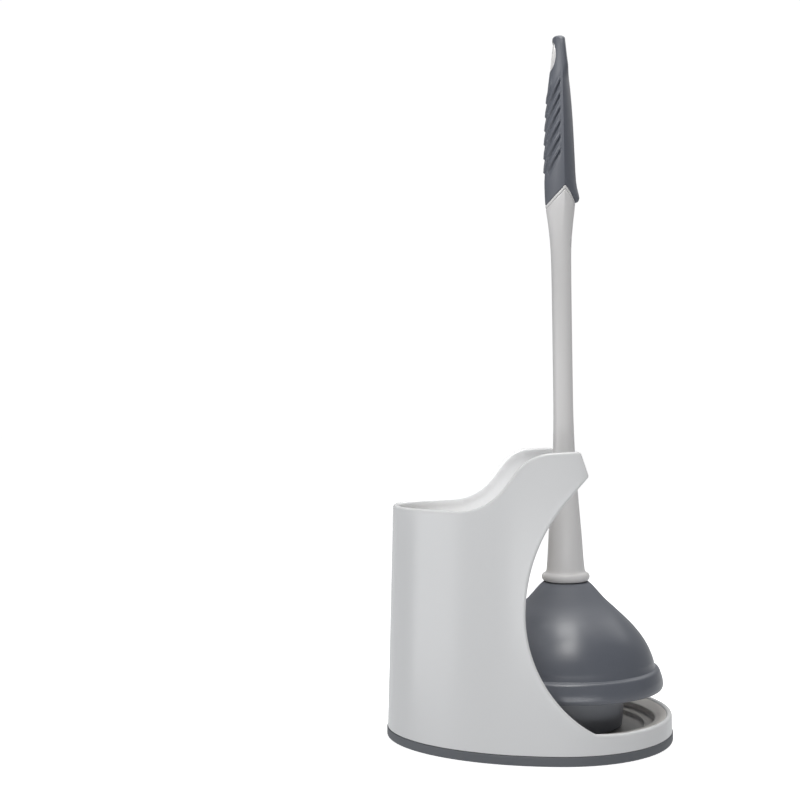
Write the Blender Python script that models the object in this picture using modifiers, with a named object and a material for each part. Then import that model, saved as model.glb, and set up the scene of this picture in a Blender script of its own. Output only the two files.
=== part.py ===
"""Toilet plunger with a flanged rubber cup, standing in its open-fronted caddy.

Metres, +Z up. The origin is on the floor under the middle of the caddy. +X is the
open, plunger end and -X is the brush end. The plunger is modelled upright about its
own axis and then leans a little, as it does when it stands loose in the dish.
"""
import math

import bmesh
import bpy
from mathutils import Vector

MM = 0.001
GAP = 0.3 * MM

# Plan of the caddy: two half ellipses that share their widest line
WIDEST_X = 15.4 * MM
HALF_WIDTH = 91.4 * MM
NOSE = 90.5 * MM
TAIL = 121.3 * MM
PLAN_POINTS = 56

# Non-slip ring under the caddy
RING_HEIGHT = 6.8 * MM
RING_LEDGE = 4.2 * MM
RING_WALL = 3.2 * MM
RING_WIDTH = 16 * MM

# Moulded shell: walls lean in as they rise
DRAFT = 0.0238
SHELL_STEP = 0.4 * MM
SHELL_WALL = 2.6 * MM
LOW_RIM = 171.5 * MM
HIGH_RIM = 214 * MM
FRONT_RIM = 20 * MM
HOOK_TIP = (33.4 * MM, 196.6 * MM)
# Sweep of the rim on the near and far sides: hook top, crown corner, foot corner, their two radii
NEAR_SWEEP = ((27.3 * MM, HIGH_RIM), (-8.3 * MM, 212.2 * MM), (-37.8 * MM, LOW_RIM), 33 * MM, 41.6 * MM)
FAR_SWEEP = ((27.3 * MM, 211 * MM), (-5 * MM, 210 * MM), (-36.8 * MM, LOW_RIM), 28 * MM, 41 * MM)
SIDES_MEET = 20 * MM
CUTOUT_X = -11 * MM
CUTOUT_Z = 102 * MM
CUTOUT_UPPER_R = 119 * MM
CUTOUT_ARC_TOP = 184.2 * MM
CUTOUT_LOWER_R = 91.5 * MM

# Tray: a dish with two steps for the cup's flange, and a well for a brush
TRAY_INSET = 3.9 * MM
TRAY_TOP = 19.2 * MM
TRAY_SKIN = 2.6 * MM
TRAY_FLOOR = 7.5 * MM
DISH_X = 29 * MM
DISH_R = 63.7 * MM
DISH_Z = 15.5 * MM
STEP_R = 56 * MM
STEP_Z = 10.6 * MM
DISH_MARGIN = 5.5 * MM

# Curved wall between the brush well and the plunger
DIVIDER_X = 27.5 * MM
DIVIDER_R = 76.2 * MM
DIVIDER_WALL = 2.4 * MM
DIVIDER_ARC = math.radians(50)
DIVIDER_END_Y = 79 * MM
DIVIDER_FOOT = 12.4 * MM
DIVIDER_TOP = 150 * MM

# Plunger, measured along its own axis from the floor
PLUNGER_X = 29.2 * MM
LEAN = 0.0143
COLLAR_TOP = 121 * MM
COLLAR_BOTTOM = 114.2 * MM
COLLAR_R = 17.8 * MM
BEAD_STEPS = 6
PLUG_TOP = 140 * MM
PLUG_TOP_R = 10 * MM
PLUG_R = 11.4 * MM
STUD_R = 9 * MM
STUD_BOTTOM = 90 * MM
THREAD_PITCH = 5 * MM
THREAD_DEPTH = 1.2 * MM
SOCKET_R = 13 * MM
SOCKET_BOTTOM = 87 * MM
NECK_TOP = 113.8 * MM
RUBBER = 3 * MM
LIP_TOP = 54.5 * MM
LIP_BOTTOM = 36.5 * MM
FLANGE_TOP_R = 42.6 * MM
FLANGE_TIP_R = 40 * MM
FLANGE_FOLD = 11.4 * MM
FLANGE_BOTTOM = 8.3 * MM
GRIP_TOP = 521.3 * MM
SEAM_APEX_Z = 406.4 * MM
TRIM_HEIGHT = 2.6 * MM
TRIM_LOW = 385 * MM
TRIM_HIGH = 412 * MM
SLEEVE_WALL = 2.2 * MM
SLEEVE_CAVITY_TOP = 519.3 * MM
CORE_BOTTOM = 384 * MM
CORE_TOP = 519 * MM
SPIGOT_R = 6.2 * MM
SPIGOT_TOP = 408 * MM
SHAFT_BOTTOM = 121.3 * MM
SHAFT_TOP = 411 * MM
HOLE_Z = 506 * MM
HOLE_HALF_HEIGHT = 10.5 * MM
HOLE_HALF_WIDTH = 4.2 * MM
LINER_WALL = 1.2 * MM
NOSE_STEP = 0.2 * MM
LINER_NOSE = [(-6.3, 493), (-2.8, 520), (0, 520), (0, 493)]

# Handle sections: height, front reach, back reach, half width, ridge offset, facet share
HANDLE_SECTIONS = [
    (121.3, 14.4, 14.4, 14.4, 0, 0),
    (150, 12.3, 12.3, 12.3, 0, 0),
    (182, 9.9, 9.9, 9.9, 0, 0),
    (215, 8.1, 8.1, 8.1, 0, 0),
    (248, 7.35, 7.35, 7.35, 0, 0),
    (345, 7.4, 7.4, 7.4, 0, 0),
    (366, 8.1, 7.9, 7.9, 0.2, 0.1),
    (380, 9.5, 9.3, 9, 0.8, 0.25),
    (395, 11.6, 11.2, 10.8, 1.8, 0.45),
    (414, 12.2, 12, 11.6, 2, 0.55),
    (436, 11.8, 11.4, 11.5, 2, 0.6),
    (460, 10.5, 10.4, 10.6, 2, 0.6),
    (480, 8.8, 9, 9.6, 2, 0.6),
    (496, 6.6, 7.3, 8.6, 2, 0.55),
    (508, 5.2, 5.9, 8.1, 1.6, 0.45),
    (516, 4.2, 5, 7.2, 1.2, 0.35),
    (519.6, 3.5, 4.3, 5.8, 1, 0.25),
    (521.3, 2.2, 3, 3.6, 0.8, 0.2),
]

# Finger stop at the back of the sleeve's lower end: height, extra back reach
FINGER_STOP = [(396.2, 0.8), (397.2, 2.2), (400.2, 3.1), (404.7, 2.2), (408, 1.25), (414, 0.1)]

# Bore of the shaft from its top down: radius, height
SHAFT_BORE = [(6.5, 415), (6.5, 382), (4.9, 372), (4.9, 245), (5.7, 215), (7.5, 182), (9.8, 150),
              (11.9, 121), (12, 118)]

# Inverted V of the grip's lower edge from the side, measured from its apex
SEAM_APEX_X = 2 * MM
SEAM_EDGE = [(-15, -16.2), (-0.8, -1.9), (0, -0.6), (0.8, -1.3), (4.5, -5.2), (7.8, -10.2), (10.4, -17)]
SEAM_REACH = 20 * MM

# Outer face of the rubber bell from its neck down: radius, height
BELL_OUTER = [(17.5, 113.8), (22, 109.3), (28.6, 100.6), (38.3, 91.9), (47.9, 83.4), (54.9, 74.8),
              (60, 66.1), (63.4, 57.8), (64.4, 54.8)]
BELL_SHOULDER = 99 * MM
# Outer face of the lip from its top down: radius, height
LIP_OUTER = [(64.8, 54.5), (68.5, 48.2), (70.3, 42.5), (70.6, 39.2), (69.9, 36.5)]
LIP_INNER = [(61, 39.5), (64, 44), (61.6, 54.5)]

SECTION_POINTS = 24
TURN_STEPS = 40

WHITE = (0.80, 0.79, 0.77)
SLATE = (0.115, 0.125, 0.145)


# ---------------------------------------------------------------- building blocks

def collection(name):
    made = bpy.data.collections.new(name)
    bpy.context.scene.collection.children.link(made)
    return made


def principled(name, colour, roughness):
    material = bpy.data.materials.new(name)
    material.use_nodes = True
    shader = material.node_tree.nodes["Principled BSDF"]
    shader.inputs["Base Color"].default_value = (*colour, 1)
    shader.inputs["Roughness"].default_value = roughness
    shader.inputs["Metallic"].default_value = 0
    material.diffuse_color = (*colour, 1)
    return material


def place(name, mesh, group, parent=None):
    made = bpy.data.objects.new(name, mesh)
    group.objects.link(made)
    made.parent = parent
    return made


def finish(made, colour, roughness):
    """Give a part its own material and smooth its round faces."""
    made.data.materials.append(principled(made.name, colour, roughness))
    made.data.shade_smooth()
    made.data.set_sharp_from_angle(angle=math.radians(35))


def as_cutter(made):
    made.hide_render = True
    made.display_type = "WIRE"
    return made


def boolean(made, other, operation="DIFFERENCE"):
    modifier = made.modifiers.new(other.name, "BOOLEAN")
    modifier.operation = operation
    modifier.solver = "EXACT"
    modifier.object = other
    return modifier


def mesh_from(name, bm):
    bmesh.ops.recalc_face_normals(bm, faces=bm.faces)
    mesh = bpy.data.meshes.new(name)
    bm.to_mesh(mesh)
    bm.free()
    return mesh


def loft(name, rings):
    """A closed body through a stack of rings that have the same number of corners."""
    bm = bmesh.new()
    stack = [[bm.verts.new(corner) for corner in ring] for ring in rings]
    count = len(rings[0])
    for low, high in zip(stack, stack[1:]):
        for i in range(count):
            j = (i + 1) % count
            bm.faces.new((low[i], low[j], high[j], high[i]))
    bm.faces.new(reversed(stack[0]))
    bm.faces.new(stack[-1])
    return mesh_from(name, bm)


def prism(name, outline, half_width):
    """A closed body: an outline in the X-Z plane, pushed out to both sides along Y."""
    bm = bmesh.new()
    face = bm.faces.new([bm.verts.new((x, -half_width, z)) for x, z in outline])
    grown = bmesh.ops.extrude_face_region(bm, geom=[face])["geom"]
    moved = [item for item in grown if isinstance(item, bmesh.types.BMVert)]
    bmesh.ops.translate(bm, vec=(0, 2 * half_width, 0), verts=moved)
    return mesh_from(name, bm)


def turned(name, profile, group, parent=None, x=0.0):
    """A body turned about Z. The profile runs down its outer side and up its inner side."""
    bm = bmesh.new()
    corners = [bm.verts.new((r, 0, z)) for r, z in profile]
    for first, second in zip(corners, corners[1:]):
        bm.edges.new((first, second))
    if profile[0][0] > 0 or profile[-1][0] > 0:
        bm.edges.new((corners[-1], corners[0]))
    mesh = bpy.data.meshes.new(name)
    bm.to_mesh(mesh)
    bm.free()
    made = place(name, mesh, group, parent)
    made.location.x = x
    screw = made.modifiers.new("turn", "SCREW")
    screw.axis = "Z"
    screw.steps = TURN_STEPS
    screw.render_steps = TURN_STEPS
    screw.use_merge_vertices = True
    screw.merge_threshold = 0.00001
    screw.use_smooth_shade = True
    return made


def arc(centre, radius, start, end, steps):
    """Points on an arc in the X-Z plane, angles in degrees from +X towards +Z."""
    points = []
    for i in range(steps + 1):
        angle = math.radians(start + (end - start) * i / steps)
        points.append((centre[0] + radius * math.cos(angle), centre[1] + radius * math.sin(angle)))
    return points


def offset_profile(profile, distance):
    """Move each profile point by a distance to the left of the way the profile runs."""
    points = [Vector(p) for p in profile]
    moved = []
    for i, point in enumerate(points):
        ahead = points[min(i + 1, len(points) - 1)] - points[max(i - 1, 0)]
        ahead.normalize()
        moved.append((point.x - ahead.y * distance, point.y + ahead.x * distance))
    return moved


# ---------------------------------------------------------------- caddy

def plan_ring(inset, z):
    """The caddy's egg-shaped outline at one height, some way inside the ring's edge."""
    ring = []
    for i in range(PLAN_POINTS):
        angle = 2 * math.pi * i / PLAN_POINTS
        reach = NOSE if math.cos(angle) > 0 else TAIL
        x = WIDEST_X + (reach - inset) * math.cos(angle)
        ring.append((x, (HALF_WIDTH - inset) * math.sin(angle), z))
    return ring


def plan_body(name, inset, low, high, group, draft=0.0):
    rings = [plan_ring(inset + draft * z, z) for z in (low, high)]
    return place(name, loft(name, rings), group)


def fillet(before, corner, after, radius, steps):
    """Points of the arc that rounds one corner of a profile."""
    corner = Vector(corner)
    back = (Vector(before) - corner).normalized()
    ahead = (Vector(after) - corner).normalized()
    half = back.angle(ahead) / 2
    centre = corner + (back + ahead).normalized() * radius / math.sin(half)
    first = (corner + back * radius / math.tan(half) - centre).normalized()
    last = (corner + ahead * radius / math.tan(half) - centre).normalized()
    return [tuple(centre + first.slerp(last, i / steps) * radius) for i in range(steps + 1)]


def side_outline(sweep):
    """The caddy seen from the side: low rim, sweep up to the hook, cut-out, low front rim."""
    hook_top, crown, foot, crown_r, foot_r = sweep
    upper = (CUTOUT_X + CUTOUT_UPPER_R, CUTOUT_Z)
    lower = (CUTOUT_X + CUTOUT_LOWER_R, CUTOUT_Z)
    arc_angle = math.degrees(math.asin((CUTOUT_ARC_TOP - CUTOUT_Z) / CUTOUT_UPPER_R))
    rim_angle = math.degrees(math.asin((CUTOUT_Z - FRONT_RIM) / CUTOUT_LOWER_R))
    far = 2 * NOSE + TAIL
    low_end = (-far, LOW_RIM)
    outline = [(-far, -GAP), low_end]
    outline += fillet(low_end, foot, crown, foot_r, 8)
    outline += fillet(foot, crown, hook_top, crown_r, 8)
    outline += [hook_top, HOOK_TIP]
    outline += arc(upper, CUTOUT_UPPER_R, 180 - arc_angle, 180, 8)
    outline += arc(lower, CUTOUT_LOWER_R, 180, 180 + rim_angle, 9)[1:]
    outline += [(far, FRONT_RIM), (far, -GAP)]
    return outline


def side_view():
    """The body that cuts the shell's upper edge. Its two sides differ in the sweep of the rim."""
    near, far = side_outline(NEAR_SWEEP), side_outline(FAR_SWEEP)
    reach = 2 * HALF_WIDTH
    places = ((-reach, near), (-SIDES_MEET, near), (SIDES_MEET, far), (reach, far))
    return loft("shell_side_view", [[(x, y, z) for x, z in outline] for y, outline in places])


def build_shell(parts, cutters):
    bottom = RING_HEIGHT + GAP
    shell = plan_body("caddy_shell", SHELL_STEP, bottom, 1.1 * HIGH_RIM, parts, DRAFT)
    side = place("shell_side_view", side_view(), cutters)
    hollow = plan_body("shell_hollow", SHELL_STEP + SHELL_WALL, 0, 1.2 * HIGH_RIM, cutters, DRAFT)
    boolean(shell, as_cutter(side), "INTERSECT")
    boolean(shell, as_cutter(hollow))
    finish(shell, WHITE, 0.25)


def build_ring(parts, cutters):
    ring = plan_body("base_ring", 0, 0, RING_HEIGHT, parts)
    step = plan_body("ring_step", RING_WALL, RING_LEDGE, 2 * RING_HEIGHT, cutters)
    middle = plan_body("ring_middle", RING_WIDTH, -RING_HEIGHT, 2 * RING_HEIGHT, cutters)
    boolean(ring, as_cutter(step))
    boolean(ring, as_cutter(middle))
    finish(ring, SLATE, 0.6)


def divider_path():
    """Plan of the divider: a wing from one side wall, an arc round the cup, and a wing back."""
    points = [(DIVIDER_X - DIVIDER_R * math.cos(DIVIDER_ARC), -DIVIDER_END_Y)]
    steps = 16
    for i in range(steps + 1):
        angle = DIVIDER_ARC * (2 * i / steps - 1)
        points.append((DIVIDER_X - DIVIDER_R * math.cos(angle), DIVIDER_R * math.sin(angle)))
    points.append((points[0][0], DIVIDER_END_Y))
    return points


def in_metres(profile):
    """A profile listed in millimetres, as points in metres."""
    return [(r * MM, z * MM) for r, z in profile]


def upright_wall(name, path, low, high, thickness, group):
    """An open upright surface along a path in plan, thickened evenly to both sides."""
    bm = bmesh.new()
    feet = [bm.verts.new((x, y, low)) for x, y in path]
    for first, second in zip(feet, feet[1:]):
        bm.edges.new((first, second))
    grown = bmesh.ops.extrude_edge_only(bm, edges=bm.edges)["geom"]
    moved = [item for item in grown if isinstance(item, bmesh.types.BMVert)]
    bmesh.ops.translate(bm, vec=(0, 0, high - low), verts=moved)
    made = place(name, mesh_from(name, bm), group)
    solidify = made.modifiers.new("thickness", "SOLIDIFY")
    solidify.thickness = thickness
    solidify.offset = 0
    solidify.use_even_offset = True
    return made


def build_divider(parts):
    path = divider_path()
    divider = upright_wall("well_divider", path, DIVIDER_FOOT, DIVIDER_TOP, DIVIDER_WALL, parts)
    finish(divider, WHITE, 0.3)


def circle_ring(radius, z):
    return [(DISH_X + radius * math.cos(2 * math.pi * i / PLAN_POINTS),
             radius * math.sin(2 * math.pi * i / PLAN_POINTS), z) for i in range(PLAN_POINTS)]


def disc(name, radius, low, high, group, x):
    """A plain round body about a vertical line at x."""
    return turned(name, [(0, high), (radius, high), (radius, low), (0, low)], group, x=x)


def slab(name, x_low, x_high, z_low, z_high, group):
    """A plain block across the whole caddy."""
    outline = [(x_low, z_low), (x_high, z_low), (x_high, z_high), (x_low, z_high)]
    return place(name, prism(name, outline, 2 * HALF_WIDTH), group)


def build_tray(parts, cutters):
    wing_x = DIVIDER_X - DIVIDER_R * math.cos(DIVIDER_ARC)
    well_limit = 2 * DIVIDER_WALL
    above = 2 * TRAY_TOP
    bottom = RING_LEDGE + GAP
    inner = TRAY_INSET + TRAY_SKIN

    tray = plan_body("base_tray", TRAY_INSET, bottom, TRAY_TOP, parts)
    rings = [circle_ring(DISH_R, DISH_Z), plan_ring(DISH_MARGIN, TRAY_TOP), plan_ring(DISH_MARGIN, above)]
    slope = place("dish_slope", loft("dish_slope", rings), cutters)
    step_profile = [(0, above), (DISH_R, above), (DISH_R, STEP_Z), (STEP_R, STEP_Z), (STEP_R, TRAY_FLOOR),
                    (0, TRAY_FLOOR)]
    steps = turned("dish_steps", step_profile, cutters, x=DISH_X)

    well = plan_body("brush_well", inner, TRAY_FLOOR, above, cutters)
    keep_out = disc("well_limit", DIVIDER_R + well_limit, 0, 2 * above, cutters, DIVIDER_X)
    side_limit = slab("well_side_limit", wing_x - well_limit, 2 * TAIL, 0, 2 * above, cutters)
    boolean(well, as_cutter(keep_out))
    boolean(well, as_cutter(side_limit))

    foot = DIVIDER_FOOT - GAP
    slot = upright_wall("divider_slot", divider_path(), foot, above, DIVIDER_WALL + 2 * GAP, cutters)

    under = plan_body("tray_under", inner, 0, foot - TRAY_SKIN, cutters)
    boss = disc("dish_boss", DISH_R + TRAY_SKIN, -TRAY_TOP, above, cutters, DISH_X)
    tail_boss = slab("well_boss", -2 * TAIL, wing_x, -TRAY_TOP, TRAY_TOP, cutters)
    boolean(under, as_cutter(boss))
    boolean(under, as_cutter(tail_boss))

    for cutter in (slope, steps, well, slot, under):
        boolean(tray, as_cutter(cutter))
    finish(tray, WHITE, 0.3)


# ---------------------------------------------------------------- plunger

def section_ring(section, inset=0.0):
    """One ring of the handle: round low down, a rounded kite with two side ridges in the grip."""
    z, front, back, half, ridge, facet = section
    ring = []
    quarter = SECTION_POINTS // 4
    for i in range(SECTION_POINTS):
        side, share = divmod(i, quarter)
        q = share / quarter
        along = 1 - q if side % 2 == 0 else q
        across = 1 - along
        reach = back - ridge if side in (0, 3) else front + ridge
        reach = max(reach - inset / MM, 0.5)
        width = max(half - inset / MM, 0.5)
        round_x = math.cos(across * math.pi / 2)
        round_y = math.sin(across * math.pi / 2)
        x = reach * ((1 - facet) * round_x + facet * along)
        y = width * ((1 - facet) * round_y + facet * across)
        x = x if side in (0, 3) else -x
        y = y if side < 2 else -y
        ring.append(((ridge + x) * MM, y * MM, z * MM))
    return ring


def handle_body(name, low, high, group, parent, inset=0.0):
    """The handle between two heights, some way inside its surface."""
    chosen = [s for s in HANDLE_SECTIONS if low < s[0] * MM < high]
    chosen.insert(0, section_at(low / MM))
    chosen.append(section_at(high / MM))
    return place(name, loft(name, [section_ring(s, inset) for s in chosen]), group, parent)


def section_at(z):
    """The handle's section at any height in millimetres, between the listed ones."""
    for low, high in zip(HANDLE_SECTIONS, HANDLE_SECTIONS[1:]):
        if low[0] <= z <= high[0]:
            share = (z - low[0]) / (high[0] - low[0])
            return tuple(a + (b - a) * share for a, b in zip(low, high))
    return HANDLE_SECTIONS[-1]


def seam_outline(lift, deep):
    """The inverted V of the grip's lower edge from the side, closed far below or far above."""
    points = [(SEAM_APEX_X + x * MM, SEAM_APEX_Z + lift + z * MM) for x, z in SEAM_EDGE]
    points.insert(0, (-SEAM_REACH, points[0][1]))
    points.append((SEAM_REACH, points[-1][1]))
    return points + [(SEAM_REACH, deep), (-SEAM_REACH, deep)]


def seam_cutter(name, lift, deep, group, axis):
    return place(name, prism(name, seam_outline(lift, deep), SEAM_REACH), group, axis)


def build_shaft(parts, cutters, axis):
    shaft = handle_body("shaft", SHAFT_BOTTOM, SHAFT_TOP, parts, axis)
    crown = seam_cutter("shaft_crown", -GAP, GRIP_TOP, cutters, axis)
    wall = in_metres(SHAFT_BORE)
    bore = turned("shaft_bore", [(0, wall[0][1])] + wall + [(0, wall[-1][1])], cutters, axis)
    boolean(shaft, as_cutter(crown))
    boolean(shaft, as_cutter(bore))
    finish(shaft, WHITE, 0.3)


def oval_tube(name, half_width, half_height, group, axis, back=SEAM_REACH):
    """A body through the grip along X with an oval section, for the hanging hole."""
    rings = []
    for x in (-SEAM_REACH, back):
        rings.append([(x, half_width * math.cos(2 * math.pi * i / SECTION_POINTS),
                       HOLE_Z + half_height * math.sin(2 * math.pi * i / SECTION_POINTS))
                      for i in range(SECTION_POINTS)])
    return place(name, loft(name, rings), group, axis)


def build_core(parts, cutters, axis):
    core = handle_body("grip_core", CORE_BOTTOM, CORE_TOP, parts, axis, SLEEVE_WALL)
    foot = seam_cutter("core_foot", 0, 0, cutters, axis)
    trim = handle_body("trim_band", TRIM_LOW, TRIM_HIGH, cutters, axis)
    above = seam_cutter("above_trim", TRIM_HEIGHT, GRIP_TOP, cutters, axis)
    half_width = HOLE_HALF_WIDTH + LINER_WALL
    half_height = HOLE_HALF_HEIGHT + LINER_WALL
    liner = oval_tube("liner", half_width, half_height, cutters, axis)
    skin = handle_body("liner_skin", HOLE_Z - 2 * half_height, GRIP_TOP - 2 * GAP, cutters, axis)
    nose = oval_tube("liner_nose", half_width - NOSE_STEP, half_height - NOSE_STEP, cutters, axis, 0)
    nose_mesh = prism("liner_nose_side", in_metres(LINER_NOSE), SEAM_REACH)
    nose_side = place("liner_nose_side", nose_mesh, cutters, axis)
    hole = oval_tube("hanging_hole", HOLE_HALF_WIDTH, HOLE_HALF_HEIGHT, cutters, axis)
    spigot_profile = [(0, SPIGOT_TOP), (SPIGOT_R, SPIGOT_TOP), (SPIGOT_R, CORE_BOTTOM), (0, CORE_BOTTOM)]
    spigot = turned("spigot", spigot_profile, cutters, axis)
    boolean(trim, as_cutter(foot))
    boolean(trim, as_cutter(above))
    boolean(liner, as_cutter(skin), "INTERSECT")
    boolean(nose, as_cutter(nose_side), "INTERSECT")
    boolean(core, foot)
    for added in (trim, liner, nose, spigot):
        boolean(core, as_cutter(added), "UNION")
    boolean(core, as_cutter(hole))
    finish(core, WHITE, 0.3)


def finger_stop(cutters, axis):
    """The stop at the back, a little inside the sleeve's surface everywhere else."""
    rings = []
    for z, extra in FINGER_STOP:
        _, front, back, half, ridge, facet = section_at(z)
        rings.append(section_ring((z, front - 1, back + extra, half - 0.6, ridge, facet)))
    return place("finger_stop", loft("finger_stop", rings), cutters, axis)


def build_sleeve(parts, cutters, axis):
    sleeve = handle_body("grip_sleeve", TRIM_LOW, GRIP_TOP, parts, axis)
    below = seam_cutter("below_sleeve", TRIM_HEIGHT + GAP, 0, cutters, axis)
    cavity = handle_body("sleeve_cavity", TRIM_LOW - SLEEVE_WALL, SLEEVE_CAVITY_TOP, cutters, axis,
                         SLEEVE_WALL - GAP)
    margin = LINER_WALL + GAP
    window = oval_tube("sleeve_window", HOLE_HALF_WIDTH + margin, HOLE_HALF_HEIGHT + margin, cutters, axis)
    boolean(sleeve, as_cutter(finger_stop(cutters, axis)), "UNION")
    for cutter in (below, cavity, window):
        boolean(sleeve, as_cutter(cutter))
    finish(sleeve, SLATE, 0.65)


def thread_profile():
    """The stud below the collar, with rounded ridges that stand for its coarse thread."""
    root = STUD_R - THREAD_DEPTH
    profile = []
    top = COLLAR_BOTTOM
    while top - THREAD_PITCH > STUD_BOTTOM:
        profile += [(root, top), (STUD_R, top - 0.35 * THREAD_PITCH), (STUD_R, top - 0.55 * THREAD_PITCH)]
        top -= THREAD_PITCH
    profile.append((root, STUD_BOTTOM))
    return profile


def build_neck(parts, axis):
    half = (COLLAR_TOP - COLLAR_BOTTOM) / 2
    middle = (COLLAR_TOP + COLLAR_BOTTOM) / 2
    bead = []
    for i in range(BEAD_STEPS + 1):
        angle = math.radians(90 - 180 * i / BEAD_STEPS)
        bead.append((COLLAR_R - half + half * math.cos(angle), middle + half * math.sin(angle)))
    profile = [(0, PLUG_TOP), (PLUG_TOP_R, PLUG_TOP), (PLUG_R, COLLAR_TOP)] + bead + thread_profile()
    collar = turned("threaded_collar", profile + [(0, STUD_BOTTOM)], parts, axis)
    finish(collar, WHITE, 0.3)
    bore = STUD_R + GAP
    nut = [(SOCKET_R, NECK_TOP), (SOCKET_R, SOCKET_BOTTOM), (bore, SOCKET_BOTTOM), (bore, NECK_TOP)]
    socket = turned("threaded_socket", nut, parts, axis)
    finish(socket, SLATE, 0.5)


def build_cup(parts, axis):
    outer = in_metres(BELL_OUTER)
    bell_foot = [(outer[-1][0] - RUBBER, outer[-1][1])]
    inner = list(reversed(offset_profile(outer, -RUBBER)[2:-1]))
    neck = [(SOCKET_R + GAP, BELL_SHOULDER), (SOCKET_R + GAP, NECK_TOP)]
    bell = turned("cup_bell", outer + bell_foot + inner + neck, parts, axis)
    finish(bell, SLATE, 0.55)

    web_r = FLANGE_TOP_R - RUBBER
    web = [(web_r, LIP_BOTTOM), (web_r, LIP_BOTTOM + RUBBER)]
    lip = turned("cup_lip", in_metres(LIP_OUTER) + web + in_metres(LIP_INNER), parts, axis)
    finish(lip, SLATE, 0.55)

    top = LIP_BOTTOM - GAP
    fold_r = FLANGE_TIP_R + (FLANGE_TOP_R - FLANGE_TIP_R) * 0.1
    skirt_profile = [(FLANGE_TOP_R, top), (fold_r, FLANGE_FOLD), (fold_r - RUBBER, FLANGE_FOLD),
                     (web_r, top)]
    skirt = turned("flange_skirt", skirt_profile, parts, axis)
    finish(skirt, SLATE, 0.55)

    hem_top = FLANGE_FOLD - GAP
    hem_profile = [(fold_r, hem_top), (FLANGE_TIP_R, FLANGE_BOTTOM), (FLANGE_TIP_R - RUBBER, FLANGE_BOTTOM),
                   (fold_r - RUBBER, hem_top)]
    hem = turned("flange_hem", hem_profile, parts, axis)
    finish(hem, SLATE, 0.55)


def main():
    for old in list(bpy.data.objects):
        bpy.data.objects.remove(old)
    parts = collection("toilet_plunger")
    cutters = collection("cutters")
    axis = place("plunger_axis", None, parts)
    axis.location = (PLUNGER_X, 0, 0)
    axis.rotation_euler = (0, -LEAN, 0)

    build_shell(parts, cutters)
    build_ring(parts, cutters)
    build_divider(parts)
    build_tray(parts, cutters)
    build_shaft(parts, cutters, axis)
    build_core(parts, cutters, axis)
    build_sleeve(parts, cutters, axis)
    build_neck(parts, axis)
    build_cup(parts, axis)


main()
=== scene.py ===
"""Looks of the toilet plunger and its caddy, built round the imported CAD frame. Metres, +Z up."""
import math

import bmesh
import bpy
import numpy as np
from mathutils import Matrix, Vector
from mathutils.geometry import delaunay_2d_cdt


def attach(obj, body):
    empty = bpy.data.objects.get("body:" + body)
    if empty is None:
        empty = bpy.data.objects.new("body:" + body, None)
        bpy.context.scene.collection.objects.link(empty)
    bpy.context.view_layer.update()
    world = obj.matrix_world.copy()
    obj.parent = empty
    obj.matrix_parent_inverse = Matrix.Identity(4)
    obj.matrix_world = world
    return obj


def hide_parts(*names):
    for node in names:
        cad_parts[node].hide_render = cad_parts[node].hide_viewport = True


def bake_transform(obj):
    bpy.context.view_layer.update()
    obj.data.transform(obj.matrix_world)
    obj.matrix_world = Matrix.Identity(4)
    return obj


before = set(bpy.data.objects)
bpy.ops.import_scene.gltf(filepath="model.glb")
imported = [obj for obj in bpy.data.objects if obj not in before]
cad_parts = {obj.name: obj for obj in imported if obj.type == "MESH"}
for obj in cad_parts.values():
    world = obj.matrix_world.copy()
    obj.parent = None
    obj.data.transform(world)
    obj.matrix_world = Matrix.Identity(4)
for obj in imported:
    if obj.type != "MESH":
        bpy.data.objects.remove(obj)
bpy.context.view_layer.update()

MM = 0.001

# Caddy plan: two half ellipses sharing their widest line, millimetres
WIDEST_X = 15.4
HALF_WIDTH = 91.4
NOSE = 90.5
TAIL = 121.3
SHELL_STEP = 0.4
DRAFT = 0.0238
WALL = 2.6
SHELL_FOOT = 7.1
BEAD_R = 2.0
BEAD_FADE = 6.0

# Dish and brush well, millimetres
DISH_X = 29.0
DISH_R = 63.7
STEP_R = 56.0
DISH_Z = 15.5
LEDGE_Z = 10.6
FLOOR_Z = 7.5
TRAY_TOP = 19.2

# Plunger axis
PLUNGER_X = 29.2
LEAN = 0.0143
AXIS = Matrix.Translation((PLUNGER_X * MM, 0, 0)) @ Matrix.Rotation(-LEAN, 4, "Y")


# ---------------------------------------------------------------- mesh helpers

def make(name, verts, faces, placed=None, sharp=40):
    """A smooth-shaded object from points in millimetres, welded, with outward normals."""
    bm = bmesh.new()
    corners = [bm.verts.new((x * MM, y * MM, z * MM)) for x, y, z in verts]
    for face in faces:
        ring = [corners[i] for i in dict.fromkeys(face)]
        if len(ring) > 2:
            try:
                bm.faces.new(ring)
            except ValueError:
                pass
    bmesh.ops.remove_doubles(bm, verts=bm.verts, dist=2e-6)
    bmesh.ops.dissolve_degenerate(bm, dist=1e-7, edges=bm.edges)
    bmesh.ops.holes_fill(bm, edges=[e for e in bm.edges if e.is_boundary], sides=8)
    bmesh.ops.recalc_face_normals(bm, faces=bm.faces)
    if placed is not None:
        bmesh.ops.transform(bm, matrix=placed, verts=bm.verts)
    mesh = bpy.data.meshes.new(name)
    bm.to_mesh(mesh)
    bm.free()
    made = bpy.data.objects.new(name, mesh)
    bpy.context.scene.collection.objects.link(made)
    mesh.shade_smooth()
    if sharp:
        mesh.set_sharp_from_angle(angle=math.radians(sharp))
    return made


def grid_faces(rows, columns, first=0, close_rows=False, close_columns=True):
    """Quads between neighbouring points of a grid whose points are numbered row by row."""
    faces = []
    for r in range(rows if close_rows else rows - 1):
        for c in range(columns if close_columns else columns - 1):
            r2, c2 = (r + 1) % rows, (c + 1) % columns
            faces.append((first + r * columns + c, first + r * columns + c2,
                          first + r2 * columns + c2, first + r2 * columns + c))
    return faces


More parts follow.
